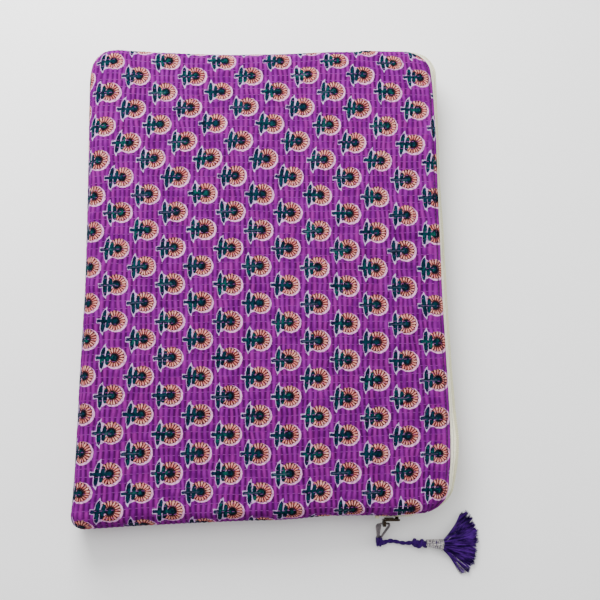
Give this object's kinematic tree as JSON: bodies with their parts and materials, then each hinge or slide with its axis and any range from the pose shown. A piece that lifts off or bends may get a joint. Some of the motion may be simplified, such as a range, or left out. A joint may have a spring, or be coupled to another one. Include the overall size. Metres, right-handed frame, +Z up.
{
  "type": "laptop sleeve",
  "caption": "Quilted, padded cloth laptop sleeve lying flat with its zip undone, and a tassel hanging from the zip slider's pull.",
  "frame": {"origin": "centre of the flat underside of the sleeve's panels, where it rests", "axes": "+X from the closed long side towards the mouth, +Y along the mouth away from the slider, +Z up from the underside to the front panel"},
  "size_m": [0.3003, 0.4191, 0.0336],
  "materials": {
    "printed_cotton": "quilted cotton, block printed, matte",
    "batting": "soft needled padding",
    "lining": "plain woven cotton",
    "binding": "bias-cut cotton binding",
    "zip_tape": "woven polyester tape, cream",
    "zip_coil": "nylon coil, satin",
    "zip_stop": "bar-tacked tape end",
    "topstitch": "polyester sewing thread",
    "slider_metal": "dark antique bronze, polished edges",
    "pull_metal": "dark nickel strip",
    "violet_thread": "rayon tassel thread with a soft sheen",
    "silver_thread": "metallic wrapping thread"
  },
  "bodies": {
    "sleeve": {"front_outer_panel": "printed_cotton", "front_batting": "batting", "front_lining": "lining", "back_outer_panel": "printed_cotton", "back_batting": "batting", "back_lining": "lining", "seam_binding": "binding", "zip_tape_back": "zip_tape", "zip_coil_back": "zip_coil", "zip_tape_leg_slider_end": "zip_tape", "zip_coil_leg_slider_end": "zip_coil", "zip_stop_slider_end": "zip_stop", "zip_tape_leg_far_end": "zip_tape", "zip_coil_leg_far_end": "zip_coil", "zip_stop_far_end": "zip_stop"},
    "mouth_lip": {"front_outer_panel_lip": "printed_cotton", "front_batting_lip": "batting", "front_lining_lip": "lining", "zip_tape_front": "zip_tape", "zip_coil_front": "zip_coil", "front_topstitch": "topstitch"},
    "slider": {"slider_body": "slider_metal", "slider_crown": "slider_metal"},
    "pull": {"pull_loop": "pull_metal", "cord_hitch": "violet_thread"},
    "tassel": {"tassel_cord": "violet_thread", "tassel_knot": "violet_thread", "tassel_neck": "silver_thread", "tassel_skirt": "violet_thread"}
  },
  "joints": [
    {"name": "mouth_lip_bend", "type": "hinge", "parent": "sleeve", "child": "mouth_lip", "pos_m": [0.082, 0, 0.033], "axis": [0, -1, 0], "range_deg": [0, 20]},
    {"name": "slider_slide", "type": "slide", "parent": "sleeve", "child": "slider", "axis": [1, 0, 0], "range_m": [0, 0.01]},
    {"name": "pull_lift", "type": "hinge", "parent": "slider", "child": "pull", "pos_m": [0.0904, -0.19266, 0.0165], "axis": [-1, 0, 0], "range_deg": [0, 110]},
    {"name": "tassel_swing", "type": "hinge", "parent": "pull", "child": "tassel", "pos_m": [0.0883, -0.2103, 0.0034], "axis": [0, 0, 1], "range_deg": [-150, 0]}
  ]
}
